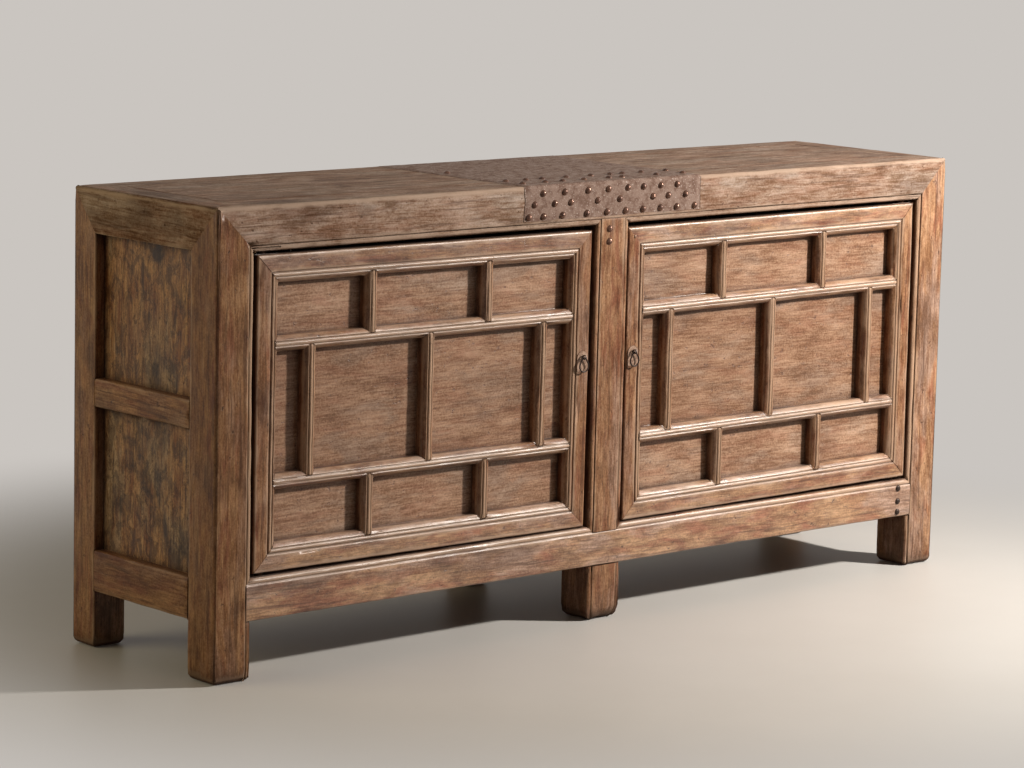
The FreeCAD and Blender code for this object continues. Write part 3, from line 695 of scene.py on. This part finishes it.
def islands(form):
    """The separate boards of a form, as lists of corners."""
    left = set(form.verts)
    found = []
    for seed in form.verts:
        if seed not in left:
            continue
        left.discard(seed)
        board = [seed]
        for corner in board:
            for edge in corner.link_edges:
                other = edge.other_vert(corner)
                if other in left:
                    left.discard(other)
                    board.append(other)
        found.append(board)
    return found


def distance_to_edges(points, edges):
    """How far each point is from the nearest of the edges, which are given by their ends."""
    nearest = np.full(len(points), edge_search_reach)
    for start, end in edges:
        origin = np.array(start)
        along = np.array(end) - origin
        share = np.clip((points - origin) @ along / (along @ along), 0, 1)
        nearest = np.minimum(nearest, np.linalg.norm(points - origin - share[:, None] * along, axis=1))
    return nearest


def write_grain(form, axis, name):
    """Stores where each corner lies in its log, and a tone for each board."""
    grain = form.verts.layers.float_vector.new("grain")
    tone = form.verts.layers.float.new("tone")
    others = [direction for direction in axes if direction != axis]
    for index, board in enumerate(islands(form)):
        draw = random.Random(f"{name} {index}")
        middle = sum((corner.co for corner in board), Vector((0, 0, 0))) / len(board)
        shift = draw.uniform(-log_reach, log_reach)
        sideways = draw.uniform(-pith_spread, pith_spread)
        depth = draw.choice((-1, 1)) * draw.uniform(*pith_depth_shares) * pith_depth
        tilts = [draw.uniform(-pith_tilt_share, pith_tilt_share) for _ in others]
        # A set tone, partly painted light for some boards, else one drawn at random
        board_tone = board_tones_and_painted_falloff.get(name, draw.uniform(-tone_spread, tone_spread))
        for corner in board:
            along = corner.co[axis] - middle[axis]
            across = []
            for side, pith, tilt in zip(others, (sideways, depth), tilts):
                across.append(corner.co[side] - middle[side] + pith + tilt * along)
            corner[grain] = Vector((along + shift, *across))
            corner[tone] = board_tone


def level_noise(place, length):
    """Smooth noise of 0 to 1 whose cells have a length."""
    return noise_middle_share + noise_middle_share * noise.noise(place / length)


def sole_depth(name):
    """How far a post's foot is worn back."""
    return centre_foot_wear_depth if name == "post_front_centre" else foot_wear_depth


def wear_foot(form, name):
    """Wears the foot of a post back towards its middle, most at the sole."""
    low, high = boxes[name]
    middle = (low + high) / 2
    for corner in form.verts:
        outward = Vector((corner.co.x - middle.x, corner.co.y - middle.y, 0))
        rise = max(0.0, 1 - corner.co.z / foot_wear_height)
        loss = rise * rise * sole_depth(name) * (1 + noise.noise(corner.co / edge_loss_length))
        corner.co -= outward * min(loss / max(outward.length, weld_distance), foot_wear_share)


def bare_normal(corner, covered):
    """The direction out of the faces at a corner that no other piece covers."""
    normals = [face.normal for face in corner.link_faces if not face[covered]]
    return sum(normals, Vector((0, 0, 0))).normalized()


def wear_surface(form, name, exposed, creases):
    """Planes the faces a little uneven and takes the outer edges down, always inside the node's own box."""
    form.normal_update()
    rub_and_highlight_nearness = form.verts.layers.float.new("rub_and_highlight_nearness")
    crease = form.verts.layers.float.new("crease")
    covered = form.faces.layers.int["covered"]
    points = np.array([corner.co for corner in form.verts])
    shares = np.exp(-distance_to_edges(points, exposed) / wear_and_highlight_reach)
    folds = np.exp(-distance_to_edges(points, creases) / crease_reach)
    low, high = boxes[name]
    moved = []
    for corner, share, fold in zip(form.verts, shares.tolist(), folds.tolist()):
        # Nearness to bare edges, which the wood lightens as rubbed and partly as a painted highlight
        corner[rub_and_highlight_nearness] = share
        # Nearness to creases, which the wood darkens as painted shade
        corner[crease] = fold
        wave = level_noise(corner.co, plane_wave_length)
        small = level_noise(corner.co, ripple_length)
        rough = max(0.0, noise.noise(corner.co / edge_loss_length) + edge_loss_share)
        loss = wave * plane_wave + small * ripple + share * rough * edge_loss
        loss *= min(1.0, metal_distance(corner.co) / metal_reach)
        moved.append(corner.co - loss * bare_normal(corner, covered))
    for corner, goal in zip(form.verts, moved):
        corner.co = [min(max(goal[axis], low[axis]), high[axis]) for axis in axes]
    if name.startswith("post_"):
        wear_foot(form, name)


# Putting the pieces into the scene

def shown_piece(name, form, material):
    """An object of a form in one material, shaded smooth up to its sharp edges."""
    mesh = bpy.data.meshes.new(name)
    form.to_mesh(mesh)
    form.free()
    mesh.materials.append(material)
    mesh.polygons.foreach_set("use_smooth", [True] * len(mesh.polygons))
    mesh.set_sharp_from_angle(angle=shade_angle)
    piece = bpy.data.objects.new(name, mesh)
    bpy.context.scene.collection.objects.link(piece)
    return piece


def stand_in(name, form, material):
    """Shows a worn form in place of a node, on the node's own body."""
    piece = shown_piece(name + "_worn", form, material)
    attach(piece, frame["nodes"][name]["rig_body"])
    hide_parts(name)


def worn_pieces():
    """Rounds, cuts and wears all wooden nodes."""
    plain = {}
    for name, form in clean_forms.items():
        mark_covered(name, form)
        exposed, creases = mark_edges(name, form)
        plain[name] = rounded(name, form), exposed, creases
    graph = bpy.context.evaluated_depsgraph_get()
    for name, (piece, exposed, creases) in plain.items():
        mesh = bpy.data.meshes.new_from_object(piece.evaluated_get(graph))
        form = bmesh.new()
        form.from_mesh(mesh)
        bpy.data.meshes.remove(mesh)
        cut_grid(form, grain_axis(name))
        write_grain(form, grain_axis(name), name)
        wear_surface(form, name, exposed, creases)
        stand_in(name, form, wood_of(name))
    for piece, _, _ in plain.values():
        bpy.data.objects.remove(piece)


def metal_pieces():
    """Gives the nails, plates, staples and rings their metal."""
    for name, piece in frame["nodes"].items():
        if slot_of(name) in metal_slots and name != strap_node:
            piece.data.materials[0] = metal_of(name)


def worn_strap():
    """The sheet-iron strap, hammered uneven, its ragged borders beaten down onto the wood."""
    form = clean_form(strap_node)
    cut_grid(form, None)
    form.normal_update()
    low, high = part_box(strap_node)
    middle = (low + high) / 2
    moved = []
    for corner in form.verts:
        place = corner.co
        rooms = (place.x - low.x, high.x - place.x, place.z - low.z, high.y - place.y)
        inward = strap_inward[rooms.index(min(rooms))]
        share = math.exp(-min(rooms) / strap_border)
        ragged = max(0.0, noise.noise(place / strap_ragged_length)) * share * strap_ragged
        goal = place + inward * ragged
        outward = Vector((0, corner.normal.y, corner.normal.z))
        if outward.y < -strap_outer_share or outward.z > strap_outer_share:
            hammered = level_noise(place - middle, strap_dent_length)
            goal -= outward.normalized() * (share * strap_border_sink + hammered * strap_dent)
        moved.append(goal)
    for corner, goal in zip(form.verts, moved):
        corner.co = goal
    stand_in(strap_node, form, metal_of(strap_node))


def nail_head(name, place, radius, body, material):
    """A small lathed nail head that stands out of the front face at a place, its rim sunk into the wood."""
    form = bmesh.new()
    rings = []
    for radius_share, height_share in nail_profile_shares:
        ring = []
        for index in range(nail_sides):
            turn = math.tau * index / nail_sides
            offset = Vector((math.cos(turn) * radius_share, -height_share, math.sin(turn) * radius_share))
            ring.append(form.verts.new(place + offset * radius))
        rings.append(ring)
    for lower, upper in zip(rings, rings[1:]):
        for index in range(nail_sides):
            after = (index + 1) % nail_sides
            form.faces.new((lower[index], lower[after], upper[after], upper[index]))
    form.faces.new(rings[-1])
    form.faces.new(reversed(rings[0]))
    bmesh.ops.recalc_face_normals(form, faces=form.faces)
    piece = shown_piece(name, form, material)
    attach(piece, body)


def small_nails():
    """Dark nails in the right end of the bottom rail and a bright one in the right door."""
    for index, height in enumerate(rail_nail_heights):
        name = f"rail_nail_{index + 1}"
        place = Vector((rail_nail_across, front_face, height))
        nail_head(name, place, rail_nail_radius, "carcass", materials["pull_iron"])
    place = Vector((door_nail_across, door_face, door_nail_height))
    nail_head("door_nail", place, door_nail_radius, "door_right", materials["aged_brass"])


# Floor, light and camera

def looked_at(tree):
    """One for what is seen, directly or mirrored, and zero for what only lights the object."""
    seen = node(tree, "ShaderNodeLightPath").outputs
    mirrored = calc(tree, "ADD", seen["Is Glossy Ray"], seen["Is Transmission Ray"])
    return calc(tree, "ADD", seen["Is Camera Ray"], mirrored, clamp=True)


def floor_material():
    """Pale concrete near the object that turns into an even pale ground further out."""
    made, tree, surface = new_material("pale_floor")
    place = node(tree, "ShaderNodeTexCoord").outputs["Object"]
    looked = looked_at(tree)
    clouds = grains(tree, scaled(tree, place, floor_cells), *floor_shape)
    pale = mix(tree, clouds, floor_light, floor_dark)
    tree.links.new(mix(tree, looked, bounce_colour, pale), surface.inputs["Base Color"])
    surface.inputs["Roughness"].default_value = floor_roughness
    surface.inputs["Specular IOR Level"].default_value = floor_polish
    ground = node(tree, "ShaderNodeEmission", {"Color": ground_colour, "Strength": ground_strength})
    reach = node(tree, "ShaderNodeVectorMath", {0: place}, operation="LENGTH").outputs["Value"]
    share = calc(tree, "MULTIPLY", between(tree, reach, floor_near, floor_far), looked)
    blend = node(tree, "ShaderNodeMixShader", {0: share, 1: surface.outputs[0], 2: ground.outputs[0]})
    output = next(item for item in tree.nodes if item.type == "OUTPUT_MATERIAL")
    tree.links.new(blend.outputs[0], output.inputs["Surface"])
    return made


def lay_floor():
    """A wide level floor under the object."""
    form = bmesh.new()
    bmesh.ops.create_grid(form, x_segments=1, y_segments=1, size=floor_reach)
    mesh = bpy.data.meshes.new("floor")
    form.to_mesh(mesh)
    form.free()
    mesh.materials.append(floor_material())
    floor = bpy.data.objects.new("floor", mesh)
    bpy.context.scene.collection.objects.link(floor)


def add_lamp(name, place, size, power, tint):
    """A square lamp that is turned to the object."""
    lamp = bpy.data.lights.new(name, "AREA")
    lamp.energy = power
    lamp.size = size
    lamp.color = tint
    holder = bpy.data.objects.new(name, lamp)
    holder.location = place
    holder.rotation_euler = (lamp_aim - place).to_track_quat("-Z", "Y").to_euler()
    bpy.context.scene.collection.objects.link(holder)


def light_scene():
    """A small strong lamp, a wide weak one, and a dim sky that is seen as a pale backdrop."""
    add_lamp("key", key_place, key_size, key_power, key_tint)
    add_lamp("fill", fill_place, fill_size, fill_power, fill_tint)
    world = bpy.data.worlds.new("studio")
    world.use_nodes = True
    tree = world.node_tree
    tree.nodes.clear()
    sky = node(tree, "ShaderNodeBackground", {"Color": sky_tint, "Strength": sky_strength})
    backdrop = node(tree, "ShaderNodeBackground", {"Color": ground_colour, "Strength": ground_strength})
    layers = {0: looked_at(tree), 1: sky.outputs[0], 2: backdrop.outputs[0]}
    blend = node(tree, "ShaderNodeMixShader", layers)
    output = node(tree, "ShaderNodeOutputWorld")
    tree.links.new(blend.outputs[0], output.inputs["Surface"])
    bpy.context.scene.world = world


def place_camera():
    """The camera at its place, turned by its yaw, pitch and roll."""
    ahead = Vector((
        math.sin(camera_yaw) * math.cos(camera_pitch),
        math.cos(camera_yaw) * math.cos(camera_pitch),
        math.sin(camera_pitch),
    ))
    level = Vector((math.cos(camera_yaw), -math.sin(camera_yaw), 0))
    upright = level.cross(ahead)
    right = level * math.cos(camera_roll) + upright * math.sin(camera_roll)
    up = upright * math.cos(camera_roll) - level * math.sin(camera_roll)
    lens = bpy.data.cameras.new("photo")
    lens.lens = camera_lens
    lens.sensor_width = camera_sensor
    lens.sensor_fit = "HORIZONTAL"
    camera = bpy.data.objects.new("photo", lens)
    turn = Matrix((right, up, -ahead)).transposed()
    camera.matrix_world = Matrix.Translation(camera_place) @ turn.to_4x4()
    bpy.context.scene.collection.objects.link(camera)
    bpy.context.scene.camera = camera


place_camera()
light_scene()
lay_floor()
worn_pieces()
metal_pieces()
worn_strap()
small_nails()
bpy.context.scene.view_settings.view_transform = "Standard"
